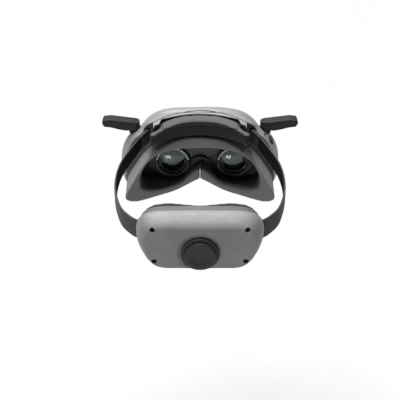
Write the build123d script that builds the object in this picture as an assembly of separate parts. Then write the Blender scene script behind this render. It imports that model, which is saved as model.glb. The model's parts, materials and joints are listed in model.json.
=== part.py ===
from build123d import *
"""FPV goggles: a light grey visor unit with folding antennas, hung from a headband
whose rear unit holds the battery and the band's tension knob.

Millimetres. Origin: midpoint between the two eyepieces, on the wearer's eye line.
+X is the wearer's left, +Y runs back towards the head, +Z is up.
"""

import os
from math import cos, pi, radians, sin, sqrt

os.makedirs("parts", exist_ok=True)

# ---------------------------------------------------------------- driving dimensions
WALL = 2.2                  # moulded shell wall
EYE_X = {"left": 29.0, "right": 36.0}      # eyepiece centres, left unevenly; 28 to 36 each
EYE_MIN, EYE_MAX = 28.0, 36.0

SHELL_REAR_Y, SHELL_FRONT_Y = -1.0, -74.0
HEAD_Y = 82.0               # centre of the forehead arcs, in plan
PAD_BACK_R, PAD_FRONT_R, PAD_CHEEK_R = 67.0, 81.0, 74.0
PAD_STEP_X, PAD_END_X = 39.0, 49.5
PAD_BOTTOM, PAD_TOP = 41.4, 60.0
SEAM_T = 1.0                # dark bracket between the brow and its pad
BROW_BOTTOM, BROW_MIDDLE = 36.0, 41.4      # underside of its ends, and of its middle

FACE_R, FACE_Y = 140.0, 15.0               # curve of the face, and its foremost point
FOAM_Y = 1.6                # where the face foam meets its frame

HINGE_Y, HINGE_Z = 8.0, 42.0               # headband pivot axis, along X
ARM_IN, ARM_OUT = 51.2, 54.8
ARM_EYE_R, HINGE_PIN_R = 7.0, 2.5

BARREL_R, LENS_R, BORE_R = 18.0, 15.5, 13.0
WINDOW_X, WINDOW_W, WINDOW_H = 34.5, 26.0, 19.5
RAIL_R, RAIL_Z, RAIL_Y = 1.75, 22.5, (-12.5, -22.5)
DIAL_R, DIAL_Y, DIAL_BOTTOM, DIAL_TOP = 7.0, -18.0, -40.5, -31.0

CAMERA_X, CAMERA_Z, CAMERA_R = 33.0, -5.0, 8.5
FAN_R, FAN_Z = 11.5, -4.0

ANTENNA_X, ANTENNA_Y, ANTENNA_Z = 68.2, -15.5, 30.5
STICK_AT = (-74.0, -8.6, 22.6)             # thumb stick, on the right shoulder
STICK_OUT = (-0.80, 0.0, 0.60)
BACK_AT = (-67.0, -5.4, 30.2)
BACK_OUT = (-0.52, 0.0, 0.85)

BAND_T = 2.0                # strap thickness
STRAP_START_Y, STRAP_END_Y = 28.6, 185.0
STRAP_Z0, STRAP_Z1 = 41.5, 50.5            # centre height, front and rear
STRAP_H0, STRAP_H1 = 7.0, 10.0             # half height, front and rear

REAR_Z = 46.0
PAD_REAR_Y, CASE_Y, COVER_Y, COVER_BACK_Y = 178.0, 178.0, 185.5, 201.5
KNOB_Z, KNOB_R, KNOB_Y = 37.2, 13.8, 201.8
TEETH, MODULE = 14, 1.0
RACK_Y0, RACK_Y1 = 191.0, 195.0


# ---------------------------------------------------------------- helpers
def save(name, shape):
    """Writes one node."""
    solids = shape.solids() if hasattr(shape, "solids") else ShapeList(shape)
    out = solids[0] if len(solids) == 1 else Compound(children=list(solids))
    export_step(out, f"parts/{name}.step")
    size = out.bounding_box().size
    print(f"{name:24s} {len(solids)} solids  {size.X:.1f} x {size.Y:.1f} x {size.Z:.1f}")
    NODES[name] = out


NODES = {}


def mirrored(shape):
    return mirror(shape, about=Plane.YZ)


def front_view(sketch, y0, y1):
    """Extrudes a sketch drawn in X and Z from y0 to y1."""
    return extrude(Plane.XZ.offset(-y0) * sketch, amount=y1 - y0, dir=(0, 1, 0))


def plan_view(sketch, z0, z1):
    """Extrudes a sketch drawn in X and Y from z0 to z1."""
    return extrude(Plane.XY.offset(z0) * sketch, amount=z1 - z0, dir=(0, 0, 1))


def side_view(sketch, x0, x1):
    """Extrudes a sketch drawn in Y and Z from x0 to x1."""
    return extrude(Plane.YZ.offset(x0) * sketch, amount=x1 - x0, dir=(1, 0, 0))


def cylinder_y(x, z, r, y0, y1):
    return front_view(Pos(x, z) * Circle(r), y0, y1)


def cylinder_z(x, y, r, z0, z1):
    return plan_view(Pos(x, y) * Circle(r), z0, z1)


def cylinder_x(y, z, r, x0, x1):
    return side_view(Pos(y, z) * Circle(r), x0, x1)


def box(x0, x1, y0, y1, z0, z1):
    x0, x1 = min(x0, x1), max(x0, x1)
    return Pos((x0 + x1) / 2, (y0 + y1) / 2, (z0 + z1) / 2) * Box(x1 - x0, y1 - y0, z1 - z0)


def softened(shape, edges, radius):
    """Rounds edges, with a smaller radius where the full one doesn't fit."""
    for r in (radius, radius * 0.6, radius * 0.3):
        try:
            return fillet(edges, r)
        except Exception:
            continue
    print("  an edge stays sharp")
    return shape


def both_sides(half):
    """Completes a half outline, from the top middle to the bottom middle, with its mirror."""
    return half + [(-x, z) for x, z in reversed(half[1:-1])]


def inset(points, t):
    """Moves each point of a closed clockwise outline inwards by t."""
    n = len(points)
    moved = []
    for i, (x, z) in enumerate(points):
        (x0, z0), (x1, z1) = points[i - 1], points[(i + 1) % n]
        dx, dz = x1 - x0, z1 - z0
        length = sqrt(dx * dx + dz * dz)
        moved.append((x + t * dz / length, z - t * dx / length))
    return moved


def outline_wire(points, y):
    return Wire([Edge.make_spline([Vector(x, y, z) for x, z in points], periodic=True)])


def slab(points, y0, y1):
    """Solid from y0 to y1 with a smooth closed outline of points (x, z)."""
    return Part() + Solid.extrude(Face(outline_wire(points, y0)), Vector(0, y1 - y0, 0))


def on_arc(r, x):
    """Point on a forehead arc of radius r, in plan."""
    return (x, HEAD_Y - sqrt(r * r - x * x))


# ---------------------------------------------------------------- visor shell
REAR_OUTLINE = [
    (0, 61), (26, 60), (43, 55), (53, 46), (60, 36.5), (67, 30.5), (74, 20), (78.5, 4),
    (79.5, -12), (77.5, -26), (67, -36), (47, -39), (30, -36), (13, -24), (0, -19),
]
FRONT_Z, FRONT_HALF_W, FRONT_HALF_H, FRONT_POWER = -6.0, 50.0, 17.0, 2.7
# rows of y, share of the front outline in width, share of it in height
SECTIONS = [
    (SHELL_REAR_Y, 0.0, 0.0), (-17, -0.16, 0.06), (-33, -0.10, 0.30), (-48, 0.14, 0.56),
    (-61, 0.46, 0.79), (-70, 0.84, 0.95), (SHELL_FRONT_Y, 1.10, 1.06),
]


def front_outline():
    """Superellipse with as many points as the rear outline."""
    points = []
    steps = len(REAR_OUTLINE) - 1
    for i in range(steps + 1):
        a = pi / 2 - pi * i / steps
        c, s = max(cos(a), 0.0), sin(a)
        x = FRONT_HALF_W * c ** (2 / FRONT_POWER)
        z = FRONT_HALF_H * abs(s) ** (2 / FRONT_POWER) * (1 if s > 0 else -1)
        points.append((x, FRONT_Z + z))
    return points


def visor_section(share_x, share_z, t):
    """Outline of the visor between its rear and front outlines, inset by t."""
    half = []
    for (xr, zr), (xf, zf) in zip(REAR_OUTLINE, front_outline()):
        half.append((xr + share_x * (xf - xr), zr + share_z * (zf - zr)))
    return inset(both_sides(half), t)


def visor_body(t):
    """The visor's form, inset by t all round and at the front."""
    wires = []
    for y, share_x, share_z in SECTIONS:
        if t and y == SHELL_REAR_Y:
            y = SHELL_REAR_Y + 2
        if y < -60:
            y += t * (-60 - y) / 14
        wires.append(outline_wire(visor_section(share_x, share_z, t), y))
    return Part() + Solid.make_loft(wires)


def step_points(t):
    """Right half of the brow's stepped rear edge, from the middle outwards, t behind it."""
    front, cheek = PAD_FRONT_R - t, PAD_CHEEK_R - t
    return [on_arc(front, PAD_STEP_X), on_arc(cheek, PAD_STEP_X + 2), on_arc(cheek, 46)]


def stepped_edge(t):
    """Edges of the brow's rear, left to right."""
    right = step_points(t)
    left = [(-x, y) for x, y in reversed(right)]
    arc = ThreePointArc(left[-1], on_arc(PAD_FRONT_R - t, 0), right[0])
    return left, arc, right


def brow_plan():
    """Plan of the brow crescent: rounded front, stepped rear that takes the forehead pad."""
    front = Spline([(-57.5, 12.5), (-52.5, 2.5), (-42, -5.5), (-27, -12.3), (0, -16.3),
                    (27, -12.3), (42, -5.5), (52.5, 2.5), (57.5, 12.5)])
    left, arc, right = stepped_edge(0)
    right_line = Polyline([*right, (46.8, 21), (47.6, 13.2), (50.8, 12.5), (57.5, 12.5)])
    left_line = Polyline([(-57.5, 12.5), (-50.8, 12.5), (-47.6, 13.2), (-46.8, 21), *left])
    return make_face([front, *left_line.edges(), arc, *right_line.edges()])


BROW_TOP = [(0, 60.6), (24, 60.0), (41, 57.8), (51, 54.2), (56.6, 49.7), (58, 43)]


def brow_profile(drop):
    """Front view of the brow, its underside lowered by drop."""
    left = [(-x, z) for x, z in reversed(BROW_TOP)]
    top = Spline(left[:-1] + BROW_TOP)
    low, middle = BROW_BOTTOM - drop, BROW_MIDDLE - drop
    under = Polyline([(58, 43), (58, low), (46, low), (39, middle), (-39, middle), (-46, low),
                      (-58, low), (-58, 43)])
    return make_face([top, *under.edges()])


def brow():
    """Crescent over the forehead pad."""
    body = plan_view(brow_plan(), BROW_BOTTOM, 70) & front_view(brow_profile(0), -40, 60)
    rim = body.faces().sort_by(Axis.Z)[-1].edges().sort_by(Axis.Y)
    body = softened(body, [rim[0]], 6.0)
    top = body.faces().sort_by(Axis.Z)[-1].edges()
    return softened(body, [e for e in top if e.center().Y > 0 and abs(e.center().X) < 40], 1.6)


def brow_hollow():
    """Space inside the brow, closed below where it overhangs."""
    ring = Pos(0, 55) * Circle(68.5) - Pos(0, HEAD_Y) * Circle(PAD_FRONT_R + 2.4)
    band = ring & Rectangle(78, 200)
    front = plan_view(band & Pos(0, -101.5) * Rectangle(200, 200), 20, 55.5)
    return front + plan_view(band, BROW_MIDDLE + 1.8, 55.5)


def knob_slot(side, grow):
    """Space that a dial sweeps in the shell's floor as its eyepiece slides."""
    middle, travel = (EYE_MIN + EYE_MAX) / 2, EYE_MAX - EYE_MIN
    shape = plan_view(Pos(middle, DIAL_Y) * SlotCenterToCenter(travel, 2 * (DIAL_R + grow)), -46, -27)
    return shape if side == "left" else mirrored(shape)


def control_plane(at, out):
    """Plane of a control on the right shoulder: x runs back along the shoulder."""
    return Plane(origin=at, x_dir=(0, 1, 0), z_dir=out)


def front_shell():
    shell = visor_body(0) + brow()
    shell = shell - visor_body(WALL) - brow_hollow()
    for s in (1, -1):
        shell -= box(s * (ARM_IN - 0.4), s * (ARM_OUT + 0.4), -1.5, 40, 33.5, 50.6)
        shell -= cylinder_x(HINGE_Y, HINGE_Z, HINGE_PIN_R, *sorted((s * 47, s * 56.2)))
        shell -= cylinder_y(s * CAMERA_X, CAMERA_Z, CAMERA_R, -90, -60)
        shell -= cylinder_z(s * ANTENNA_X, ANTENNA_Y, 4.0, 15, 60)
        shell -= cylinder_z(s * ANTENNA_X, ANTENNA_Y, 6.2, ANTENNA_Z - 1.0, 45)
    for side in EYE_X:
        shell -= knob_slot(side, 0.8)
    shell -= control_plane(STICK_AT, STICK_OUT) * extrude(Circle(5.0), amount=12, both=True)
    shell -= control_plane(BACK_AT, BACK_OUT) * extrude(SlotOverall(5.2, 2.9), amount=10, both=True)
    shell -= front_view(Pos(0, FAN_Z) * RectangleRounded(34, 17, 4), -90, -60)
    shell -= side_view(Pos(-26, -16) * RectangleRounded(9.4, 3.6, 1.7), 60, 95)
    shell -= side_view(Pos(-42, -13) * RectangleRounded(12.6, 1.8, 0.8), 55, 95)
    shell -= cylinder_x(-46, 2, 3.2, 55, 95)
    return shell.solids().sort_by(SortBy.VOLUME)[-1]


save("front_shell", front_shell())


# ---------------------------------------------------------------- rear frame, bezel, foam
FOAM_OUTER_FRONT = [
    (0, 40), (20, 38.5), (36, 33), (51, 23), (62, 10.5), (70.5, -3), (76, -13), (77.5, -21),
    (75, -28), (67, -32), (55, -33), (42, -31.5), (29, -28.5), (18, -23), (8, -16.5), (0, -13),
]
FOAM_OUTER_REAR = [
    (0, 40), (20, 38.5), (36, 32), (51, 21), (62, 7.5), (70.5, -5), (76, -14), (77.5, -20),
    (73.8, -23.8), (66, -26.6), (55, -25.2), (42, -21.2), (29, -17.8), (18, -14.4), (8, -10.3), (0, -8.5),
]
FOAM_INNER_FRONT = [
    (0, 27), (21, 27), (36, 25.5), (47, 22), (56, 15), (61.5, 5), (63.5, -6), (62, -14.5),
    (54.5, -20.5), (42, -22.5), (28, -20.5), (17, -14.5), (9, -5.5), (0, 0.5),
]
FOAM_INNER_REAR = [
    (0, 25.5), (21, 25), (36, 23), (46, 19), (54, 12.5), (59.5, 3), (61.5, -6), (60, -12),
    (53, -15), (42, -14), (29, -11), (19, -7), (10, -1.5), (0, 2),
]
BEZEL_OUTLINE = [
    (0, 31), (28, 30), (47, 25.5), (60, 15), (65.5, 0), (64, -13), (54, -22), (36, -24.5),
    (20, -20.5), (9, -10), (0, -5),
]


def rear_frame():
    frame = slab(visor_section(0, 0, WALL + 0.15), -5, SHELL_REAR_Y)
    frame -= slab(inset(both_sides(FOAM_INNER_FRONT), -0.8), -10, 5)
    for s in (1, -1):
        frame -= front_view(Pos(s * WINDOW_X, 0) * Ellipse(WINDOW_W + 0.3, WINDOW_H + 0.3), -10, 0)
    frame &= box(-90, 90, -5, SHELL_REAR_Y, -60, BROW_MIDDLE - 0.1)
    frame -= plan_view(brow_plan(), 30, 70) & front_view(brow_profile(0.1), -40, 60)
    frame -= box(-90, -58, -6, -2.4, 12, 45)
    frame -= knob_slot("left", 1.5)
    frame -= knob_slot("right", 1.5)
    return frame


def inner_bezel():
    plate = slab(both_sides(BEZEL_OUTLINE), -7, -5)
    for s in (1, -1):
        plate -= front_view(Pos(s * WINDOW_X, 0) * Ellipse(WINDOW_W, WINDOW_H), -10, 0)
    plate -= front_view(Pos(0, 16.5) * SlotOverall(9, 3), -10, 0)
    for s in (1, -1):
        plate -= cylinder_y(s * 8.2, 6.8, 0.9, -10, 0)
    return plate


def face_space():
    """Everything behind the face curve."""
    ring = Pos(0, FACE_Y + FACE_R) * Circle(FACE_R)
    return plan_view(ring, -60, 80) + box(-90, 90, FACE_Y + 32, 160, -60, 80)


def foam_frame():
    outer = inset(both_sides(FOAM_OUTER_FRONT), -0.9)
    frame = slab(outer, SHELL_REAR_Y, FOAM_Y) - slab(inset(both_sides(FOAM_INNER_FRONT), -0.8), -10, 5)
    return frame - box(-1.0, 1.0, -5, 5, -30, 10)


def face_foam():
    """Foam ring round both eyes, split under the nose bridge."""
    def tapered(front, rear):
        wires = [outline_wire(both_sides(front), FOAM_Y), outline_wire(both_sides(rear), 50)]
        return Part() + Solid.make_loft(wires, True)
    foam = tapered(FOAM_OUTER_FRONT, FOAM_OUTER_REAR) - tapered(FOAM_INNER_FRONT, FOAM_INNER_REAR)
    foam -= box(-1.0, 1.0, -5, 70, -30, 10)
    foam -= face_space()
    foam = foam.solids().sort_by(SortBy.VOLUME)[-1]
    rim = foam.edges().filter_by(lambda e: e.center().Y > FACE_Y - 1)
    return softened(foam, rim, 2.0)


def nose_arch():
    """Rubber lip over the nose bridge."""
    arch = Pos(0, -6) * (Circle(13.0) - Circle(10.6))
    arch = arch & Pos(0, 4) * Rectangle(19, 14)
    return front_view(arch, -5, -1.4)


save("rear_frame", rear_frame())
save("inner_bezel", inner_bezel())
save("foam_frame", foam_frame())
save("face_foam", face_foam())
save("nose_arch", nose_arch())
save("sensor_window", front_view(Pos(0, 16.5) * SlotOverall(8.8, 2.8), -6.6, -4.7))


# ---------------------------------------------------------------- optics
def optics_rails():
    """Two rods that both eyepieces slide on, and their end brackets."""
    parts = []
    for y in RAIL_Y:
        parts.append(cylinder_x(y, RAIL_Z, RAIL_R, -60, 60))
    for s in (1, -1):
        bracket = box(s * 60, s * 63, RAIL_Y[1] - 2.5, -5, RAIL_Z - 3, RAIL_Z + 3)
        parts.append(bracket)
    return Compound(children=[p.solid() for p in parts])


def lens_barrel(x):
    """Sliding eyepiece body: sight tube, blanking flange, rail lug and dial boss."""
    barrel = cylinder_y(x, 0, BARREL_R, -30, -1.6)
    out = 1 if x > 0 else -1
    flange = front_view(Pos(x + out * 2.5, 0) * SlotOverall(60, 43), -9.6, -7.6)
    lug = box(x - 6, x + 6, -26, -9.6, 14, RAIL_Z + 3.2)
    boss = cylinder_z(x, DIAL_Y, 4.5, -26, -14)
    barrel = barrel + flange + lug + boss
    barrel -= cylinder_y(x, 0, BORE_R, -31, 0)
    barrel -= cylinder_y(x, 0, LENS_R + 0.05, -8, 0)
    barrel -= cylinder_y(x, 0, LENS_R + 1.2, -3.2, 0)
    barrel -= cylinder_z(x, DIAL_Y, 2.55, -27, -19)
    for y in RAIL_Y:
        barrel -= cylinder_x(y, RAIL_Z, RAIL_R + 0.05, x - 8, x + 8)
    for s in (1, -1):
        barrel -= box(x + s * 16, x + s * 19, -3.6, 0, -2.5, 2.5)
    return barrel


def eyepiece(x):
    """Eyepiece lens: a plain rim and a domed face towards the eye."""
    rim = cylinder_y(x, 0, LENS_R, -8, 0)
    dome = Pos(x, -32.5, 0) * Sphere(32.5)
    return rim & dome


def display(x):
    """Display module: panel housing and the spigot that focuses in the sight tube."""
    spigot = cylinder_y(x, 0, BORE_R - 0.08, -32, -25)
    housing = box(x - 13, x + 13, -36.5, -32, -13, 13)
    return spigot + housing


def dial(x):
    """Focus dial under an eyepiece, gripped round its rim."""
    body = cylinder_z(x, DIAL_Y, DIAL_R, DIAL_BOTTOM, DIAL_TOP)
    body += cylinder_z(x, DIAL_Y, 2.5, DIAL_TOP, -19.3)
    for i in range(20):
        a = radians(i * 18)
        body -= cylinder_z(x + DIAL_R * cos(a), DIAL_Y + DIAL_R * sin(a), 0.5, DIAL_BOTTOM, -33)
    body -= box(x - 3.5, x + 3.5, DIAL_Y - 0.4, DIAL_Y + 0.4, DIAL_BOTTOM, DIAL_BOTTOM + 0.6)
    return body


save("optics_rails", optics_rails())
for side, distance in EYE_X.items():
    x = distance if side == "left" else -distance
    save(f"{side}_lens_barrel", lens_barrel(x))
    save(f"{side}_eyepiece", eyepiece(x))
    save(f"{side}_display", display(x))
    save(f"{side}_focus_dial", dial(x))


# ---------------------------------------------------------------- electronics and cooling
def main_board():
    """Board behind the displays on four legs from the bezel."""
    board = front_view(Pos(0, 1) * RectangleRounded(100, 32, 3), -42, -40)
    board += box(-10, 10, -42, -40, 12, 30)
    for s in (1, -1):
        board += cylinder_y(s * 5.5, 27, 2.0, -40, -7)
    board += box(-16, 16, -45, -42, -12, 8)
    board += box(26, 44, -44, -42, -12, 6)
    board += box(-44, -26, -44, -42, -12, 6)
    return board


def heat_sink():
    """Finned block on the processor."""
    sink = box(-19, 19, -47, -45, -13, 12)
    for i in range(13):
        x = -18 + 3 * i
        sink += box(x - 0.6, x + 0.6, -51.5, -47, -13, 12)
    return sink


def fan_housing():
    """Square frame and spider of the axial fan."""
    frame = front_view(Pos(0, FAN_Z) * RectangleRounded(27, 27, 3), -60, -52)
    frame -= cylinder_y(0, FAN_Z, FAN_R + 0.6, -64, -50)
    spider = cylinder_y(0, FAN_Z, 4.5, -53.4, -52)
    for i in range(3):
        spider += Pos(0, 0, FAN_Z) * Rot(0, 120 * i + 30, 0) * box(0, FAN_R + 1, -53.4, -52, -1.2, 1.2)
    pin = cylinder_y(0, FAN_Z, 1.2, -58, -53.4)
    return frame + spider + pin


def fan_rotor():
    """Hub and seven pitched blades."""
    rotor = cylinder_y(0, FAN_Z, 4.6, -59.5, -54)
    for i in range(7):
        blade = box(4, FAN_R - 0.4, -57.2, -56.2, -2.4, 2.4)
        rotor += Pos(0, 0, FAN_Z) * Rot(0, i * 360 / 7, 0) * Pos(0, -56.7, 0) * Rot(32, 0, 0) * Pos(0, 56.7, 0) * blade
    return rotor - cylinder_y(0, FAN_Z, 1.25, -58.3, -50)


def front_vent():
    """Louvred grille in the nose of the visor."""
    vent = front_view(Pos(0, FAN_Z) * RectangleRounded(34, 17, 4), -73.4, -71.4)
    for i in range(5):
        vent -= front_view(Pos(0, FAN_Z - 6 + 3 * i) * SlotOverall(28, 1.6), -75, -70)
    return vent


def camera_module(x):
    body = cylinder_y(x, CAMERA_Z, 6.5, -70.6, -62)
    body += box(x - 8, x + 8, -62, -57, CAMERA_Z - 8, CAMERA_Z + 8)
    return body - cylinder_y(x, CAMERA_Z, 3.2, -71, -66)


def camera_window(x):
    rim = cylinder_y(x, CAMERA_Z, CAMERA_R - 0.02, -73.2, -70.6)
    return rim


def usb_port(inner, outer, y, z):
    """Socket shell along X with its tongue."""
    body = side_view(Pos(y, z) * RectangleRounded(9.4, 3.6, 1.7), inner, outer)
    body -= side_view(Pos(y, z) * RectangleRounded(8.6, 2.8, 1.3), inner + 1, outer + 1)
    return body + box(inner + 1, outer - 1.5, y - 3.4, y + 3.4, z - 0.35, z + 0.35)


def card_slot():
    body = side_view(Pos(-42, -13) * RectangleRounded(12.6, 1.8, 0.8), 60, 79)
    return body - box(62, 82, -47.6, -36.4, -13.5, -12.5)


save("main_board", main_board())
save("heat_sink", heat_sink())
save("fan_housing", fan_housing())
save("fan_rotor", fan_rotor())
save("front_vent", front_vent())
for side, x in (("left", CAMERA_X), ("right", -CAMERA_X)):
    save(f"{side}_camera", camera_module(x))
    save(f"{side}_camera_window", camera_window(x))
save("usb_c_port", usb_port(70, 81, -26, -16))
save("card_slot", card_slot())


# ---------------------------------------------------------------- controls on the visor
def gimbal_pins(turn, r, near, far):
    """Two pivot pins on one line across the thumb stick, as a tool or as part of a ring."""
    pins = []
    for angle in (turn, turn + 180):
        pin = Pos(near, 0, 0) * Rot(0, 90, 0) * extrude(Circle(r), amount=far - near)
        pins.append(Pos(0, 0, -3.4) * Rot(0, 0, angle) * pin)
    return pins[0] + pins[1]


def stick_socket():
    """Collar and floor that carry the thumb stick, in its own plane."""
    ring = extrude(Circle(5.0), amount=-7) - extrude(Circle(4.2), amount=-5.8)
    ring -= gimbal_pins(0, 0.5, 3.8, 5.5)
    return control_plane(STICK_AT, STICK_OUT) * ring


def stick_cradle():
    """Tilting ring that the stick rocks in."""
    ring = Pos(0, 0, -3.4) * (extrude(Circle(3.7), amount=1.2, both=True) - extrude(Circle(2.7), amount=2, both=True))
    ring = ring + gimbal_pins(0, 0.45, 3.5, 4.7) - gimbal_pins(90, 0.45, 2.5, 4.0)
    return control_plane(STICK_AT, STICK_OUT) * ring


def stick_yoke():
    """Inner ring, crosswise to the cradle, that holds the stem."""
    ring = Pos(0, 0, -3.4) * (extrude(Circle(2.35), amount=0.9, both=True) - extrude(Circle(1.25), amount=2, both=True))
    ring = ring + gimbal_pins(90, 0.4, 2.2, 3.4)
    return control_plane(STICK_AT, STICK_OUT) * ring


def stick_cap():
    """Stem and dished cap."""
    stem = Pos(0, 0, -4.0) * extrude(Circle(1.15), amount=4.2)
    cap = extrude(Circle(2.6), amount=1.8) - Pos(0, 0, 6.4) * Sphere(5.0)
    return control_plane(STICK_AT, STICK_OUT) * (stem + cap)


def back_button():
    cap = Pos(0, 0, -2.4) * extrude(SlotOverall(4.6, 2.3), amount=3.2)
    return control_plane(BACK_AT, BACK_OUT) * cap


def link_button():
    cap = cylinder_x(-46, 2, 3.1, 66.5, 73.5)
    return cap


def switch_board():
    """Small board under the back button."""
    board = Pos(0, 0, -5.2) * extrude(RectangleRounded(4.4, 8, 1), amount=1.2)
    return control_plane(BACK_AT, BACK_OUT) * board


save("stick_socket", stick_socket())
save("stick_cradle", stick_cradle())
save("stick_yoke", stick_yoke())
save("stick_cap", stick_cap())
save("back_button", back_button())
save("link_button", link_button())
save("switch_board", switch_board())


# ---------------------------------------------------------------- antennas
def antenna_base():
    """Shoulder boss with the pivot pin, left side."""
    base = cylinder_z(ANTENNA_X, ANTENNA_Y, 6.2, ANTENNA_Z - 1.0, ANTENNA_Z + 1.5)
    base += cylinder_z(ANTENNA_X, ANTENNA_Y, 3.9, ANTENNA_Z - 6, ANTENNA_Z)
    return base + cylinder_z(ANTENNA_X, ANTENNA_Y, 2.0, ANTENNA_Z, ANTENNA_Z + 10)


def antenna():
    """Folding paddle, left side: hub on the pin and a flat blade that rises outwards."""
    x, z = ANTENNA_X, ANTENNA_Z
    hub = cylinder_z(x, ANTENNA_Y, 5.4, z + 1.8, z + 12.0)
    profile = make_face(Polyline([(x - 2, z + 4.5), (x + 9, z + 3.2), (x + 16, z + 4.6), (x + 24, z + 7.0),
                                  (x + 31.5, z + 8.0), (x + 33.8, z + 11.5), (x + 32.2, z + 15.2),
                                  (x + 25, z + 16.2), (x + 2, z + 13.0), (x - 2, z + 12.0),
                                  (x - 2, z + 4.5)]))
    blade = front_view(profile, ANTENNA_Y - 5.8, ANTENNA_Y + 5.8)
    tip = plan_view(Pos(x + 14, ANTENNA_Y) * RectangleRounded(40, 11.6, 3.0), z - 5, z + 25)
    blade = blade & tip
    blade = softened(blade, blade.edges().filter_by(lambda e: e.center().X > x + 8 and e.center().Z > z + 12), 1.6)
    paddle = hub + blade
    return paddle - cylinder_z(x, ANTENNA_Y, 2.05, z, z + 10.2)


for side in ("left", "right"):
    base, paddle = antenna_base(), antenna()
    save(f"{side}_antenna_base", base if side == "left" else mirrored(base))
    save(f"{side}_antenna", paddle if side == "left" else mirrored(paddle))


# ---------------------------------------------------------------- forehead pad
def pad_plan(t, back):
    """Plan of the forehead pad from t behind the brow to its rear arc."""
    left, arc, right = stepped_edge(t)
    end = on_arc(back, PAD_END_X - 3)
    right_line = Polyline([*right, (PAD_END_X, right[-1][1] + 1.5), (PAD_END_X, end[1] - 2.5), end])
    left_line = Polyline([(-x, y) for x, y in [end, (PAD_END_X, end[1] - 2.5),
                                               (PAD_END_X, right[-1][1] + 1.5)]] + left)
    rear = ThreePointArc(end, on_arc(back, 0), (-end[0], end[1]))
    return make_face([*left_line.edges(), arc, *right_line.edges(), rear])


def forehead_bracket():
    """Dark plate between the brow and the pad."""
    plate = pad_plan(0, PAD_BACK_R) - pad_plan(SEAM_T, PAD_BACK_R)
    plate = plate & Rectangle(92, 200)
    return plan_view(plate, PAD_BOTTOM, PAD_TOP - 0.3).solids().sort_by(SortBy.VOLUME)[-1]


def forehead_cushion():
    """Foam pad that rests on the forehead."""
    pad = plan_view(pad_plan(SEAM_T, PAD_BACK_R), PAD_BOTTOM, PAD_TOP)
    ends = Spline([(-60, 50), (-44, 55), (-24, 59.6), (0, 60.5), (24, 59.6), (44, 55), (60, 50)])
    skirt = Polyline([(60, 50), (60, 30), (-60, 30), (-60, 50)])
    pad = pad & front_view(make_face([ends, *skirt.edges()]), -20, 60)
    rear = pad.edges().filter_by(lambda e: e.center().Y > 14.5 and abs(e.center().X) < 30)
    return softened(pad, rear, 1.2)


save("forehead_bracket", forehead_bracket())
save("forehead_cushion", forehead_cushion())


# ---------------------------------------------------------------- headband
def band_centre(y):
    """Height of the band's centre line at y."""
    share = (y - HINGE_Y) / (BAND_PLAN[-1][1] - HINGE_Y)
    return STRAP_Z0 + share * (STRAP_Z1 - STRAP_Z0)


BAND_PLAN = [(59.1, 27.5), (64.8, 45), (75.7, 85), (77.3, 125), (70.3, 160), (60.5, 177), (51.8, 185)]


def band_profile(grow):
    """Side profile of the band in Y and Z, grown by grow."""
    y0, y1 = STRAP_START_Y - 25, STRAP_END_Y + 15
    z0, z1 = band_centre(y0), band_centre(y1)
    h0, h1 = STRAP_H0 + grow, STRAP_H1 + grow
    return make_face(Polyline([(y0, z0 - h0), (y1, z1 - h1), (y1, z1 + h1), (y0, z0 + h0), (y0, z0 - h0)]))


def strap(thick, grow):
    """Left strap: a flat band along its plan curve."""
    path = Spline([Vector(x, y) for x, y in BAND_PLAN])
    inner = [path @ (i / 24) - thick / 2 * normal_of(path % (i / 24)) for i in range(25)]
    outer = [path @ (i / 24) + thick / 2 * normal_of(path % (i / 24)) for i in range(25)]
    side_a, side_b = Spline(inner), Spline(list(reversed(outer)))
    plan = make_face([side_a, Line(side_a @ 1, side_b @ 0), side_b, Line(side_b @ 1, side_a @ 0)])
    band = plan_view(plan, 20, 80) & side_view(band_profile(grow), 30, 100)
    return band - box(30, 100, 0, STRAP_START_Y, 0, 100)


def normal_of(tangent):
    """Unit vector in plan to the right of a tangent, away from the head."""
    return Vector(tangent.Y, -tangent.X).normalized()


def strap_arm():
    """Left strap's rigid root, with the pivot eye."""
    eye = cylinder_x(HINGE_Y, HINGE_Z, ARM_EYE_R, ARM_IN, ARM_OUT)
    plan = make_face(Polyline([(ARM_IN, 8), (ARM_OUT, 8), (ARM_OUT, 13), (60.9, 28.6), (58.3, 28.6),
                               (56.4, 24), (ARM_IN, 13), (ARM_IN, 8)]))
    tongue = plan_view(plan, 20, 80) & side_view(band_profile(-0.2), 30, 100)
    arm = eye + tongue
    return arm - cylinder_x(HINGE_Y, HINGE_Z, HINGE_PIN_R + 0.05, 40, 60)


hinge_pins = [cylinder_x(HINGE_Y, HINGE_Z, HINGE_PIN_R, *sorted((s * 47, s * 56.2))).solid() for s in (1, -1)]
save("hinge_pins", Compound(children=hinge_pins))
left_strap = strap(BAND_T, 0)
strap_space = strap(BAND_T + 1.0, 0.5)
save("left_strap_arm", strap_arm())
save("right_strap_arm", mirrored(strap_arm()))
save("left_strap", left_strap)
save("right_strap", mirrored(left_strap))


# ---------------------------------------------------------------- rear unit
def level_wire(points, y):
    """Closed wire of two mirrored splines, level where they meet in the middle."""
    half = points[:len(points) // 2 + 1]
    ends = [Vector(1, 0, 0), Vector(-1, 0, 0)]
    right = Edge.make_spline([Vector(x, y, z) for x, z in half], tangents=ends)
    left = Edge.make_spline([Vector(-x, y, z) for x, z in reversed(half)],
                            tangents=[Vector(-1, 0, 0), Vector(1, 0, 0)])
    return Wire([right, left])


def level_slab(points, y0, y1):
    """Solid from y0 to y1 with the outline of level_wire."""
    return Part() + Solid.extrude(Face(level_wire(points, y0)), Vector(0, y1 - y0, 0))


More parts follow.
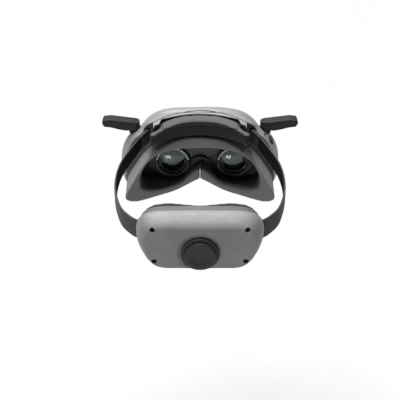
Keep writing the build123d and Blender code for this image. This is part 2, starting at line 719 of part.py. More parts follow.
CASE_OUTLINE = [
    (0, 70.8), (26, 70.6), (40, 69.2), (48, 64.9), (52, 57), (52.4, 47), (50, 37), (45, 28.5),
    (37, 23.4), (22, 21.2), (0, 21),
]
COVER_OUTLINE = [
    (0, 71.6), (27, 71.4), (42, 70.0), (50.5, 65.6), (54.5, 57.2), (54.8, 47), (52.6, 36.5), (47.5, 27.5),
    (39, 21.5), (23, 19.2), (0, 19),
]
BACK_OUTLINE = [
    (0, 65.0), (24, 64.9), (37, 64.1), (44.4, 61.2), (48, 54.6), (48.8, 46.5), (47.4, 37.5), (44, 29),
    (38, 22.6), (23, 20.2), (0, 20),
]
# rows of y, share of the back outline, inset
COVER_SECTIONS = [(COVER_Y, 0.0, 0.0), (191, 0.16, 0.0), (197, 0.62, 0.0), (200.2, 0.96, 0.3), (COVER_BACK_Y, 1.0, 1.8)]
SCREW_HIGH, SCREW_LOW = (40.2, 61.6), (39.4, 29.0)
SCREWS = [(s * x, z) for x, z in (SCREW_HIGH, SCREW_LOW) for s in (1, -1)]


def cover_body(t):
    """The rear cover's form, inset by t."""
    wires = []
    for y, share, extra in COVER_SECTIONS:
        half = [(xa + share * (xb - xa), za + share * (zb - za))
                for (xa, za), (xb, zb) in zip(COVER_OUTLINE, BACK_OUTLINE)]
        if t and y == COVER_Y:
            y -= 2
        if y > 195:
            y -= t * (y - 195) / (COVER_BACK_Y - 195)
        wires.append(level_wire(inset(both_sides(half), t + extra), y))
    return Part() + Solid.make_loft(wires)


def knob_ring(r, y):
    """Disc of radius r about the knob's axis."""
    return Plane.XZ.offset(-y) * (Pos(0, KNOB_Z) * Circle(r))


def rear_cover():
    """Light grey shell of the rear unit, dished round the knob."""
    cover = cover_body(0) - cover_body(2.0)
    for x, z in SCREWS:
        cover += cylinder_y(x, z, 3.6, 190, 199) & cover_body(0.5)
    cover += cylinder_y(0, KNOB_Z, 10, 196.5, 200) & cover_body(0.5)
    for x, z in SCREWS:
        cover -= cylinder_y(x, z, 2.3, 195.0, 210)
        cover -= cylinder_y(x, z, 1.2, 180, 210)
    cover -= cylinder_y(0, KNOB_Z, 5.0, 190, 210)
    cover -= loft([knob_ring(17.4, COVER_BACK_Y - 0.9), knob_ring(21.8, COVER_BACK_Y + 0.5)])
    cover -= strap_space + mirrored(strap_space)
    return cover.solids().sort_by(SortBy.VOLUME)[-1]


def rear_inner_case():
    """Tray that carries the battery, its rim in a darker band round the cover."""
    case = level_slab(both_sides(CASE_OUTLINE), CASE_Y, COVER_Y)
    case -= level_slab(inset(both_sides(CASE_OUTLINE), 2.0), CASE_Y + 1.8, 200)
    for x, z in SCREWS:
        case += cylinder_y(x, z, 2.8, CASE_Y + 1, 190)
    for x, z in SCREWS:
        case -= cylinder_y(x, z, 1.1, 181, 192)
    case -= strap_space + mirrored(strap_space)
    for x in (-26, 26):
        case -= plan_view(Pos(x, 181.8) * RectangleRounded(9.4, 3.0, 1.2), 15, 30)
    return case.solids().sort_by(SortBy.VOLUME)[-1]


def rear_pad():
    """Pad against the back of the head, hollowed across its width."""
    front = Spline([(-50, 176.0), (-42, 172.0), (-30, 170.6), (0, 174.8), (30, 170.6), (42, 172.0), (50, 176.0)])
    back = Polyline([(50, 176.0), (50, PAD_REAR_Y), (-50, PAD_REAR_Y), (-50, 176.0)])
    pad = plan_view(make_face([front, *back.edges()]), 15, 80)
    pad &= level_slab(inset(both_sides(CASE_OUTLINE), 1.5), 165, PAD_REAR_Y)
    return softened(pad, pad.edges().filter_by(lambda e: e.center().Y < 177.5 and abs(e.center().X) < 20), 2.0)


def battery_pack():
    """Two flat cells side by side."""
    cells = box(-33, -0.6, CASE_Y + 1.8, 188.8, 30, 67) + box(0.6, 33, CASE_Y + 1.8, 188.8, 30, 67)
    return cells + box(-20, 20, CASE_Y + 1.8, 186, 44, 54)


def battery_board():
    """Charging board under the cells."""
    board = box(-28, 28, CASE_Y + 1.8, 185, 27.6, 29.2)
    return board


def rear_screws():
    """Countersunk cover screws."""
    screws = []
    for x, z in SCREWS:
        head = cylinder_y(x, z, 2.2, 195.0, 196.4)
        head -= front_view(Pos(x, z) * RegularPolygon(0.9, 6), 195.6, 197)
        screws.append((head + cylinder_y(x, z, 1.05, 183, 195.0)).solid())
    return Compound(children=screws)


def rack(side):
    """Toothed bar that draws one strap in: left above the pinion, right below."""
    pitch = TEETH * MODULE / 2
    x0, x1 = -30.5, 5.5
    bar = box(x0, x1, RACK_Y0, RACK_Y1, KNOB_Z + pitch + 1.3, KNOB_Z + pitch + 4.3)
    step = pi * MODULE
    for i in range(-9, 2):
        x = step * i
        tooth = make_face(Polyline([(x - 0.75, KNOB_Z + pitch + 1.3), (x - 0.3, KNOB_Z + pitch - 0.7),
                                    (x + 0.3, KNOB_Z + pitch - 0.7), (x + 0.75, KNOB_Z + pitch + 1.3),
                                    (x - 0.75, KNOB_Z + pitch + 1.3)]))
        bar += front_view(tooth, RACK_Y0, RACK_Y1)
    bar += box(x1, x1 + 3, RACK_Y0, RACK_Y1, KNOB_Z + pitch + 1.3, KNOB_Z + pitch + 4.3)
    bar -= cylinder_y(x1 + 1.5, KNOB_Z + pitch + 2.8, 0.8, 180, 200)
    if side == "left":
        return bar
    return Pos(0, 0, KNOB_Z) * Rot(0, 180, 0) * Pos(0, 0, -KNOB_Z) * bar


def pinion():
    """Gear on the knob's shaft; teeth sit between those of the racks."""
    pitch = TEETH * MODULE / 2
    gear = Pos(0, 0, KNOB_Z) * front_view(Circle(pitch - 1.2), RACK_Y0 - 0.5, RACK_Y1 + 0.5)
    for i in range(TEETH):
        tooth = make_face(Polyline([(-0.75, pitch - 1.4), (-0.3, pitch + 0.8), (0.3, pitch + 0.8),
                                    (0.75, pitch - 1.4), (-0.75, pitch - 1.4)]))
        turned = Rot(0, (i + 0.5) * 360 / TEETH, 0) * front_view(tooth, RACK_Y0 - 0.3, RACK_Y1 + 0.3)
        gear += Pos(0, 0, KNOB_Z) * turned
    return gear


def tension_knob():
    """Ribbed knob with its shaft and pinion."""
    knob = cylinder_y(0, KNOB_Z, KNOB_R + 3.0, KNOB_Y, KNOB_Y + 1.8)
    knob = softened(knob, knob.edges().sort_by(Axis.Y)[-1], 1.2)
    drum = cylinder_y(0, KNOB_Z, KNOB_R, KNOB_Y + 1.8, KNOB_Y + 5.2)
    drum = softened(drum, drum.edges().sort_by(Axis.Y)[-1], 1.4)
    for i in range(36):
        a = radians(10 * i)
        x, z = (KNOB_R + 0.2) * cos(a), KNOB_Z + (KNOB_R + 0.2) * sin(a)
        drum -= cylinder_y(x, z, 0.6, KNOB_Y + 2.2, KNOB_Y + 20)
    knob = knob + drum + cylinder_y(0, KNOB_Z, 4.0, RACK_Y1, KNOB_Y)
    knob -= cylinder_y(0, KNOB_Z, 10.2, KNOB_Y + 4.0, KNOB_Y + 20)
    return knob + pinion()


def knob_cap():
    """Dished disc in the knob's face."""
    cap = cylinder_y(0, KNOB_Z, 10.1, KNOB_Y + 4.0, KNOB_Y + 5.0)
    return cap - cylinder_y(0, KNOB_Z, 8.2, KNOB_Y + 4.5, KNOB_Y + 6)


def knob_bushing():
    bushing = cylinder_y(0, KNOB_Z, 5.0, 196.5, COVER_BACK_Y + 0.2)
    return bushing - cylinder_y(0, KNOB_Z, 4.05, 190, 210)


save("rear_inner_case", rear_inner_case())
save("rear_cover", rear_cover())
save("rear_pad", rear_pad())
save("battery_pack", battery_pack())
save("battery_board", battery_board())
save("rear_screws", rear_screws())
save("power_button", plan_view(Pos(26, 181.8) * RectangleRounded(8.8, 2.4, 1.0), 20.4, 24.0))
save("charge_port", plan_view(Pos(-26, 181.8) * (RectangleRounded(9.3, 2.9, 1.2) - RectangleRounded(8.3, 1.9, 0.8)), 22.4, 24.4))
save("knob_bushing", knob_bushing())
save("tension_knob", tension_knob())
save("knob_cap", knob_cap())
save("left_rack", rack("left"))
save("right_rack", rack("right"))
print(len(NODES), "nodes")
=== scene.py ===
"""Looks of the FPV goggles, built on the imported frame. Metres, +X the wearer's left, +Y back towards the head."""
import json
from math import cos, pi, radians, sin, sqrt

import bmesh
import bpy
import numpy as np
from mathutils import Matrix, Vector
from mathutils.bvhtree import BVHTree


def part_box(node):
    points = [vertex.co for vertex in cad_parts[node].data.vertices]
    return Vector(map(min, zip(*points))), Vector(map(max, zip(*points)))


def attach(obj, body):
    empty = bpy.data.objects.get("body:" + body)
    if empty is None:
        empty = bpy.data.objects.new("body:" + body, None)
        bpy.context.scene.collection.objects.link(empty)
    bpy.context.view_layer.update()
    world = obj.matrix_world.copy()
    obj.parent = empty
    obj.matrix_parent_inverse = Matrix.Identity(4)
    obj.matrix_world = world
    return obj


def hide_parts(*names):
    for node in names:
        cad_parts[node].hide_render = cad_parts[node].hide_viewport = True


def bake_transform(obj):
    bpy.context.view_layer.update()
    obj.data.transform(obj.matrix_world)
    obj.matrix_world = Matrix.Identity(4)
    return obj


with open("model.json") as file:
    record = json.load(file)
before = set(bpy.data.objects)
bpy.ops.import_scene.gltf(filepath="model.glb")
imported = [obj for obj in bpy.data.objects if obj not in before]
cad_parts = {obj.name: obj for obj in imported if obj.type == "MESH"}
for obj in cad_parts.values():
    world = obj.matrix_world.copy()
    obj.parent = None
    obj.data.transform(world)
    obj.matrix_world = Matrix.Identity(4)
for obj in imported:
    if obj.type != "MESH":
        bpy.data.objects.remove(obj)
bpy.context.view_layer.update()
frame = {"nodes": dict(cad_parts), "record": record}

NODES = frame["nodes"]
SCENE = bpy.context.scene
MM = 0.001
CLOTH_FRAMES = 20            # length of the pads' cloth simulation
FLOOR_Z = -0.42
EAR_X = 0.0455               # the brow's hinge ears start this far from the middle
EAR_FRONT_Y, EAR_TOP_Z = 0.0100, 0.0560
HEAD_Y, SHADE_LINE_R = 82.0, 84.6  # centre and radius of the brow strip's arc, in mm


# ---------------------------------------------------------------- material kit
class Mat:
    """One procedural material, with short calls for its nodes."""

    def __init__(self, name):
        self.m = bpy.data.materials.new(name)
        self.m.use_nodes = True
        self.t = self.m.node_tree
        self.t.nodes.clear()
        self.out = self.node("ShaderNodeOutputMaterial")
        self.b = self.node("ShaderNodeBsdfPrincipled")
        self.link(self.b.outputs[0], self.out.inputs["Surface"])
        self.coord = self.node("ShaderNodeTexCoord").outputs["Object"]

    def node(self, kind, **values):
        n = self.t.nodes.new(kind)
        for key, value in values.items():
            if hasattr(n, key):
                setattr(n, key, value)
            else:
                n.inputs[key.replace("_", " ")].default_value = value
        return n

    def link(self, a, b):
        self.t.links.new(a, b)

    def set(self, **values):
        for key, value in values.items():
            self.b.inputs[key.replace("_", " ")].default_value = value

    def noise(self, scale, detail=3.0, rough=0.55, stretch=None):
        source = self.coord
        if stretch:
            mapping = self.node("ShaderNodeMapping")
            mapping.inputs["Scale"].default_value = stretch
            self.link(source, mapping.inputs["Vector"])
            source = mapping.outputs["Vector"]
        n = self.node("ShaderNodeTexNoise", Scale=scale, Detail=detail, Roughness=rough)
        self.link(source, n.inputs["Vector"])
        return n.outputs["Fac"]

    def ramp(self, value, low, high, start=0.35, end=0.65):
        """Spreads a value between two colours."""
        r = self.node("ShaderNodeValToRGB")
        r.color_ramp.elements[0].position = start
        r.color_ramp.elements[1].position = end
        r.color_ramp.elements[0].color = (*low, 1)
        r.color_ramp.elements[1].color = (*high, 1)
        self.link(value, r.inputs["Fac"])
        return r.outputs["Color"]

    def spread(self, value, low, high, start=0.35, end=0.65):
        """Spreads a value between two numbers."""
        r = self.node("ShaderNodeMapRange")
        for key, number in (("From Min", start), ("From Max", end), ("To Min", low), ("To Max", high)):
            r.inputs[key].default_value = number
        self.link(value, r.inputs["Value"])
        return r.outputs["Result"]

    def maths(self, operation, a, b=None):
        n = self.node("ShaderNodeMath", operation=operation)
        for socket, value in zip(n.inputs, (a, b)):
            if value is None:
                continue
            if isinstance(value, (int, float)):
                socket.default_value = value
            else:
                self.link(value, socket)
        return n.outputs[0]

    def mix(self, share, a, b):
        n = self.node("ShaderNodeMix", data_type="RGBA")
        if isinstance(share, (int, float)):
            n.inputs["Factor"].default_value = share
        else:
            self.link(share, n.inputs["Factor"])
        for socket, value in ((n.inputs[6], a), (n.inputs[7], b)):
            if isinstance(value, tuple):
                socket.default_value = (*value, 1)
            else:
                self.link(value, socket)
        return n.outputs[2]

    def bump(self, *layers):
        """Stacks (height, strength, distance) layers of bump."""
        normal = None
        for height, strength, distance in layers:
            n = self.node("ShaderNodeBump", Strength=strength, Distance=distance)
            self.link(height, n.inputs["Height"])
            if normal is not None:
                self.link(normal, n.inputs["Normal"])
            normal = n.outputs["Normal"]
        self.link(normal, self.b.inputs["Normal"])

    def colour(self, socket):
        self.link(socket, self.b.inputs["Base Color"])

    def rough(self, socket):
        self.link(socket, self.b.inputs["Roughness"])


def shade(rgb, k):
    """A colour k times as light."""
    return tuple(min(1.0, c * k) for c in rgb)


def hinge_ears(m):
    """1 within the brow's two black hinge ears, 0 elsewhere."""
    place = m.node("ShaderNodeSeparateXYZ")
    m.link(m.coord, place.inputs[0])
    inside = m.maths("GREATER_THAN", m.maths("ABSOLUTE", place.outputs[0]), EAR_X)
    behind = m.maths("GREATER_THAN", place.outputs[1], EAR_FRONT_Y)
    below = m.maths("LESS_THAN", place.outputs[2], EAR_TOP_Z)
    return m.maths("MULTIPLY", m.maths("MULTIPLY", inside, behind), below)


def moulded(name, rgb, rough=0.45, grain=1.0, edge_highlight=0.12, shine=0.42, ears=False):
    """Moulded plastic: fine spark-eroded grain, faint cloudiness, and a painted highlight along edges: sharp edges
    are slightly paler, for the light they catch.
    """
    m = Mat(name)
    clouds = m.noise(38, 4)
    base = m.ramp(clouds, shade(rgb, 0.94), shade(rgb, 1.06))
    point = m.node("ShaderNodeNewGeometry").outputs["Pointiness"]
    # painted highlight: sharp convex edges (high pointiness) are mixed towards a tone 1.9 times as light
    edge = m.spread(point, 0.0, edge_highlight, 0.52, 0.60)
    tone = m.mix(edge, base, shade(rgb, 1.9))
    m.colour(m.mix(hinge_ears(m), tone, (0.02, 0.02, 0.021)) if ears else tone)
    m.rough(m.spread(m.noise(160, 5), rough - 0.05, rough + 0.06))
    m.bump((m.noise(2600, 2), 0.10 * grain, 0.00012), (m.noise(900, 3), 0.05 * grain, 0.0002))
    m.set(Specular_IOR_Level=shine)
    return m.m


def rubber(name, rgb, rough=0.62):
    """Soft matt rubber, faintly cloudy."""
    m = Mat(name)
    m.colour(m.ramp(m.noise(60, 5), shade(rgb, 0.85), shade(rgb, 1.2)))
    m.rough(m.spread(m.noise(220, 4), rough - 0.07, rough + 0.08))
    m.bump((m.noise(1500, 3), 0.12, 0.0002))
    m.set(Specular_IOR_Level=0.35)
    return m.m


def knit(name, rgb, pitch=0.0011, sheen=0.05, lit_top_tone=None):
    """Knitted cover over foam: crossed ribs and fuzz, and painted light where it faces up: a paler cloth tone there
    stands in for the light from above.
    """
    m = Mat(name)
    waves = []
    turns = ((0.0, 0.0, radians(38)), (radians(90), 0.0, radians(-38)), (0.0, radians(90), radians(40)))
    for turn in turns:
        mapping = m.node("ShaderNodeMapping")
        mapping.inputs["Rotation"].default_value = turn
        m.link(m.coord, mapping.inputs["Vector"])
        wave = m.node("ShaderNodeTexWave", Scale=1 / pitch / 3.2, Distortion=1.2, Detail=2.0,
                      Detail_Scale=2.0)
        m.link(mapping.outputs["Vector"], wave.inputs["Vector"])
        waves.append(wave.outputs["Fac"])
    crossed = m.maths("MAXIMUM", waves[0], waves[1])
    weave = m.maths("MULTIPLY", crossed, m.maths("ADD", waves[2], 0.6))
    fibre = m.noise(2200, 4, 0.7)
    wear = m.noise(30, 3)
    tone = m.ramp(weave, shade(rgb, 0.80), shade(rgb, 1.14), 0.15, 0.95)
    tone = m.mix(m.spread(wear, 0.0, 0.35), tone, shade(rgb, 1.22))
    # painted light: faces that point up are mixed towards a paler tone, for the light from above
    if lit_top_tone:
        facing = m.node("ShaderNodeSeparateXYZ")
        m.link(m.node("ShaderNodeNewGeometry").outputs["Normal"], facing.inputs[0])
        painted_top_light = m.spread(facing.outputs[2], 0.0, 1.0, 0.40, 0.72)
        tone = m.mix(painted_top_light, tone, m.ramp(weave, shade(lit_top_tone, 0.85), shade(lit_top_tone, 1.12), 0.15, 0.95))
    m.colour(tone)
    m.rough(m.spread(fibre, 0.80, 0.96))
    m.bump((weave, 0.22, 0.00022), (fibre, 0.20, 0.00015), (m.noise(90, 3), 0.08, 0.0012))
    m.set(Sheen_Weight=sheen, Sheen_Roughness=0.5, Specular_IOR_Level=0.15)
    return m.m


def webbing(name, rgb, sheen=0.03, shine=0.18):
    """Tight elastic webbing: ribs across its length, in the strap's own UV."""
    rib_pitch, row_pitch = 0.0009, 0.0013
    m = Mat(name)
    uv = m.node("ShaderNodeUVMap", uv_map="band").outputs["UV"]
    split = m.node("ShaderNodeSeparateXYZ")
    m.link(uv, split.inputs[0])
    ribs = m.maths("SINE", m.maths("MULTIPLY", split.outputs[0], 2 * pi / rib_pitch))
    rows = m.maths("SINE", m.maths("MULTIPLY", split.outputs[1], 2 * pi / row_pitch))
    weave = m.maths("ADD", m.maths("MULTIPLY", ribs, rows), m.maths("MULTIPLY", rows, 0.5))
    fibre = m.noise(2500, 3, 0.7)
    tone = m.maths("ADD", m.maths("MULTIPLY", weave, 0.25), fibre)
    m.colour(m.ramp(tone, shade(rgb, 0.75), shade(rgb, 1.25), 0.2, 0.9))
    m.rough(m.spread(fibre, 0.72, 0.92))
    m.bump((weave, 0.25, 0.00015), (fibre, 0.15, 0.0001))
    m.set(Sheen_Weight=sheen, Specular_IOR_Level=shine)
    return m.m


def metal(name, rgb, rough=0.3, brushed=True):
    """Bare metal, brushed or evenly dull."""
    m = Mat(name)
    m.colour(m.ramp(m.noise(80, 4), shade(rgb, 0.85), shade(rgb, 1.1)))
    streak = m.noise(400, 3, 0.6, (1, 0.05, 1)) if brushed else m.noise(300, 3)
    m.rough(m.spread(streak, rough - 0.06, rough + 0.12))
    m.bump((streak, 0.06, 0.0001))
    m.set(Metallic=1.0)
    return m.m


def coated_glass(name, rgb, transmission=1.0, rough=0.02):
    """Tinted glass or gloss, with a thin coat."""
    m = Mat(name)
    m.colour(m.ramp(m.noise(25, 2), shade(rgb, 0.97), rgb))
    m.rough(m.spread(m.noise(60, 4), rough, rough + 0.02))
    m.set(Transmission_Weight=transmission, IOR=1.46)
    m.set(Coat_Weight=0.15, Coat_Roughness=0.03, Coat_IOR=1.4)
    return m.m


def board(name, rgb):
    """Circuit board, mottled with small parts."""
    m = Mat(name)
    cells = m.node("ShaderNodeTexVoronoi", Scale=420.0)
    m.link(m.coord, cells.inputs["Vector"])
    m.colour(m.ramp(cells.outputs["Distance"], shade(rgb, 1.6), shade(rgb, 0.9), 0.0, 0.35))
    m.rough(m.spread(m.noise(120), 0.30, 0.45))
    m.bump((cells.outputs["Distance"], 0.2, 0.0002))
    return m.m


# ---------------------------------------------------------------- mesh kit
def new_object(name, mesh, material, smooth=True):
    """Object of a mesh, in one material."""
    obj = bpy.data.objects.new(name, mesh)
    SCENE.collection.objects.link(obj)
    mesh.materials.clear()
    mesh.materials.append(material)
    for p in mesh.polygons:
        p.use_smooth = smooth
    return obj


def mesh_from(name, verts, faces, material, smooth=True):
    mesh = bpy.data.meshes.new(name)
    mesh.from_pydata([tuple(v) for v in verts], [], faces)
    mesh.update()
    return new_object(name, mesh, material, smooth)


def welded_copy(node, name, material):
    """Copy of a CAD node's mesh with its split vertices joined."""
    bm = bmesh.new()
    bm.from_mesh(NODES[node].data)
    bmesh.ops.remove_doubles(bm, verts=bm.verts, dist=0.02 * MM)
    mesh = bpy.data.meshes.new(name)
    bm.to_mesh(mesh)
    bm.free()
    return new_object(name, mesh, material)


def applied(obj, kind, **settings):
    """Adds one modifier, applies it, and keeps the object."""
    mod = obj.modifiers.new("step", kind)
    for key, value in settings.items():
        setattr(mod, key, value)
    graph = bpy.context.evaluated_depsgraph_get()
    mesh = bpy.data.meshes.new_from_object(obj.evaluated_get(graph))
    obj.modifiers.remove(mod)
    old, materials = obj.data, list(obj.data.materials)
    obj.data = mesh
    mesh.materials.clear()
    for m in materials:
        mesh.materials.append(m)
    for p in mesh.polygons:
        p.use_smooth = True
    bpy.data.meshes.remove(old)
    return obj


def coords(obj):
    """An object's vertices as rows of an array."""
    co = np.zeros(len(obj.data.vertices) * 3)
    obj.data.vertices.foreach_get("co", co)
    return co.reshape(-1, 3)


def set_coords(obj, co):
    obj.data.vertices.foreach_set("co", co.astype(np.float32).ravel())
    obj.data.update()


def relax(obj, rounds, keep=0.53, give=0.5):
    """Smooths a mesh without shrinking it much."""
    co = coords(obj)
    edges = np.array([e.vertices[:] for e in obj.data.edges])
    count = np.zeros(len(co))
    np.add.at(count, edges[:, 0], 1)
    np.add.at(count, edges[:, 1], 1)
    count = np.maximum(count, 1)[:, None]
    for _ in range(rounds):
        for step in (give, -keep):
            total = np.zeros_like(co)
            np.add.at(total, edges[:, 0], co[edges[:, 1]])
            np.add.at(total, edges[:, 1], co[edges[:, 0]])
            co = co + step * (total / count - co)
    set_coords(obj, co)
    return obj


def soften(obj, rounds):
    """Smooths a mesh and lets its corners draw in."""
    return relax(obj, rounds, 0.0)


def puffed(obj, pressure, cap):
    """Swells a closed pad by cloth simulation, and limits how far a point moves."""
    before = coords(obj)
    mod = obj.modifiers.new("puff", "CLOTH")
    s = mod.settings
    s.quality, s.mass = 6, 0.2
    s.tension_stiffness = s.compression_stiffness = 12
    s.bending_stiffness = 0.6
    s.use_pressure, s.uniform_pressure_force = True, pressure
    s.effector_weights.gravity = 0
    for frame_number in range(1, CLOTH_FRAMES + 1):
        SCENE.frame_set(frame_number)
    graph = bpy.context.evaluated_depsgraph_get()
    swollen = obj.evaluated_get(graph)
    after = np.array([v.co for v in swollen.data.vertices], float)
    obj.modifiers.remove(mod)
    SCENE.frame_set(1)
    move = after - before
    far = np.linalg.norm(move, axis=1, keepdims=True)
    move *= cap / np.maximum(far, cap)
    set_coords(obj, before + move)
    return obj


def spline_points(points, n, closed=False):
    """n points along a smooth curve through the given ones, evenly spaced."""
    p = np.array(points, float)
    if closed:
        p = np.vstack([p[-2:], p, p[:3]])
    else:
        p = np.vstack([2 * p[0] - p[1], p, 2 * p[-1] - p[-2]])
    fine = []
    first, last = (2, len(p) - 3) if closed else (1, len(p) - 2)
    for i in range(first, last):
        a, b, c, d = p[i - 1], p[i], p[i + 1], p[i + 2]
        for t in np.linspace(0, 1, 24, endpoint=False):
            bend = (2 * a - 5 * b + 4 * c - d) * t ** 2
            twist = (3 * b - a - 3 * c + d) * t ** 3
            fine.append(0.5 * (2 * b + (c - a) * t + bend + twist))
    fine.append(p[last])
    return evenly(np.array(fine), n, closed)


def evenly(p, n, closed=False):
    """n evenly spaced points along a polyline."""
    if closed and np.linalg.norm(p[0] - p[-1]) > 1e-9:
        p = np.vstack([p, p[:1]])
    s = np.concatenate([[0], np.cumsum(np.linalg.norm(np.diff(p, axis=0), axis=1))])
    at = np.linspace(0, s[-1], n + 1)[:-1] if closed else np.linspace(0, s[-1], n)
    return np.stack([np.interp(at, s, p[:, k]) for k in range(p.shape[1])], 1)


def frames_along(p, closed):
    """Tangents, and two unit vectors across, that turn as little as they can."""
    ahead = np.roll(p, -1, 0) if closed else np.vstack([p[1:], 2 * p[-1:] - p[-2:-1]])
    behind = np.roll(p, 1, 0) if closed else np.vstack([2 * p[:1] - p[1:2], p[:-1]])
    tan = ahead - behind
    tan /= np.linalg.norm(tan, axis=1, keepdims=True)
    side = np.cross(tan[0], (0.3, 0.2, 0.93))
    sides = []
    for t in tan:
        side = side - t * (side @ t)
        side /= np.linalg.norm(side)
        sides.append(side)
    sides = np.array(sides)
    return tan, sides, np.cross(tan, sides)


def tube(name, points, radius, material, closed=False, sides=10, flat=1.0):
    """Round or flattened bead along points."""
    p = np.array(points, float)
    tan, u, v = frames_along(p, closed)
    verts, faces = [], []
    n = len(p)
    for i in range(n):
        r = radius if closed or 0 < i < n - 1 else radius * 0.35
        for k in range(sides):
            a = 2 * pi * k / sides
            verts.append(p[i] + r * (cos(a) * u[i] + flat * sin(a) * v[i]))
    for i in range(n if closed else n - 1):
        j = (i + 1) % n
        for k in range(sides):
            m = (k + 1) % sides
            faces.append((i * sides + k, i * sides + m, j * sides + m, j * sides + k))
    if not closed:
        faces.append(tuple(reversed(range(sides))))
        faces.append(tuple((n - 1) * sides + k for k in range(sides)))
    return mesh_from(name, verts, faces, material)


def stitches(name, points, material, pitch, length, radius):
    """Row of separate thread stitches laid along a closed line of points."""
    p = np.array(points, float)
    total = np.linalg.norm(np.diff(p, axis=0), axis=1).sum()
    n = max(6, int(total / pitch))
    p = evenly(p, n, True)
    tan, u, v = frames_along(p, True)
    verts, faces = [], []
    ring, rows = 6, 5
    for i in range(n):
        base = len(verts)
        for r in range(rows):
            along = (r / (rows - 1) - 0.5) * length
            fat = radius * sqrt(max(0.06, 1 - (2 * r / (rows - 1) - 1) ** 2))
            for k in range(ring):
                a = 2 * pi * k / ring
                verts.append(p[i] + tan[i] * along + fat * (cos(a) * u[i] + sin(a) * v[i]))
        for r in range(rows - 1):
            near, far = base + r * ring, base + (r + 1) * ring
            for k in range(ring):
                m = (k + 1) % ring
                faces.append((near + k, near + m, far + m, far + k))
        faces.append(tuple(base + k for k in reversed(range(ring))))
        faces.append(tuple(base + (rows - 1) * ring + k for k in range(ring)))
    return mesh_from(name, verts, faces, material)


def cuts(obj, point, normal):
    """Ordered loops of points where a plane meets a mesh, longest first."""
    bm = bmesh.new()
    bm.from_mesh(obj.data)
    everything = bm.verts[:] + bm.edges[:] + bm.faces[:]
    found = bmesh.ops.bisect_plane(bm, geom=everything, plane_co=point, plane_no=normal)
    edges = [e for e in found["geom_cut"] if isinstance(e, bmesh.types.BMEdge)]
    links = {}
    for e in edges:
        a, b = e.verts
        links.setdefault(a, []).append(b)
        links.setdefault(b, []).append(a)
    loops, seen = [], set()
    for start in sorted(links, key=lambda w: (len(links[w]), w.index)):
        if start in seen:
            continue
        chain, here = [start], start
        seen.add(start)
        while True:
            onward = [w for w in links[here] if w not in seen]
            if not onward:
                break
            here = onward[0]
            seen.add(here)
            chain.append(here)
        loops.append(np.array([w.co[:] for w in chain]))
    bm.free()
    return sorted(loops, key=lambda q: -np.linalg.norm(np.diff(q, axis=0), axis=1).sum())


def lathe(name, profile, centre, material, sides=96):
    """Turned form round an axis along Y: profile rows are radius, distance along Y."""
    verts, faces = [], []
    n = len(profile)
    for k in range(sides):
        a = 2 * pi * k / sides
        for r, y in profile:
            verts.append((centre[0] + r * cos(a), centre[1] + y, centre[2] + r * sin(a)))
    for k in range(sides):
        m = (k + 1) % sides
        for i in range(n - 1):
            faces.append((k * n + i, k * n + i + 1, m * n + i + 1, m * n + i))
    obj = mesh_from(name, verts, faces, material)
    bm = bmesh.new()
    bm.from_mesh(obj.data)
    bmesh.ops.remove_doubles(bm, verts=bm.verts, dist=1e-6)
    bmesh.ops.recalc_face_normals(bm, faces=bm.faces)
    bm.to_mesh(obj.data)
    bm.free()
    for p in obj.data.polygons:
        p.use_smooth = True
    return obj


def surface_of(obj):
    """Tree of an object's mesh, for casting rays at it."""
    bm = bmesh.new()
    bm.from_mesh(obj.data)
    bm.transform(obj.matrix_world)
    tree = BVHTree.FromBMesh(bm)
    bm.free()
    return tree


# ---------------------------------------------------------------- materials by record slot
# moulded(): colour, roughness, grain, painted edge highlight (a paler tone on sharp edges), specular level
MATERIALS = {
    "shell_grey": moulded("shell_grey", (0.215, 0.217, 0.220), 0.44, 1.0, ears=True),
    "cover_grey": moulded("cover_grey", (0.165, 0.167, 0.170), 0.46, 1.0),
    "frame_grey": moulded("frame_grey", (0.075, 0.075, 0.077), 0.55, 1.2),
    "case_grey": moulded("case_grey", (0.085, 0.085, 0.087), 0.5, 1.0),
    "black_plastic": moulded("black_plastic", (0.020, 0.020, 0.021), 0.55, 1.3, 0.05, 0.25),
    "bezel_black": moulded("bezel_black", (0.045, 0.048, 0.047), 0.45, 0.8, 0.03, 0.3),
    "antenna_black": moulded("antenna_black", (0.016, 0.016, 0.017), 0.55, 1.6, 0.06, 0.22),
    "knob_black": moulded("knob_black", (0.022, 0.022, 0.023), 0.50, 1.4, 0.06, 0.25),
    "key_black": rubber("key_black", (0.03, 0.03, 0.03), 0.5),
    "foam_grey": knit("foam_grey", (0.140, 0.140, 0.142)),
    # the paler second tone on up-facing faces is painted light from above
    "pad_dark": knit("pad_dark", (0.022, 0.022, 0.023), lit_top_tone=(0.085, 0.085, 0.086)),
    "rear_pad_dark": knit("rear_pad_dark", (0.030, 0.030, 0.031)),
    "band_grey": webbing("band_grey", (0.055, 0.055, 0.057)),
    "lens_glass": coated_glass("lens_glass", (0.72, 0.84, 0.80)),
    "camera_glass": coated_glass("camera_glass", (0.06, 0.06, 0.08), 0.6),
    "sensor_tint": coated_glass("sensor_tint", (0.03, 0.02, 0.03), 0.3),
    "rubber_black": rubber("rubber_black", (0.022, 0.022, 0.023)),
    "steel": metal("steel", (0.60, 0.60, 0.61)),
    "screw_black": metal("screw_black", (0.08, 0.08, 0.085), 0.4, False),
    "heat_sink_grey": metal("heat_sink_grey", (0.55, 0.55, 0.56), 0.4),
    "board_green": board("board_green", (0.02, 0.10, 0.05)),
    "cell_wrap": coated_glass("cell_wrap", (0.04, 0.09, 0.20), 0.0, 0.2),
    "display_black": moulded("display_black", (0.030, 0.030, 0.034), 0.3, 0.5, 0.05),
}
THREAD = rubber("thread_grey", (0.10, 0.10, 0.102), 0.7)
PIPING = knit("piping_dark", (0.030, 0.030, 0.031), 0.0008)

for part in frame["record"]["subparts"]:
    if part.get("node") in NODES and part.get("material_slot") in MATERIALS:
        data = NODES[part["node"]].data
        data.materials.clear()
        data.materials.append(MATERIALS[part["material_slot"]])


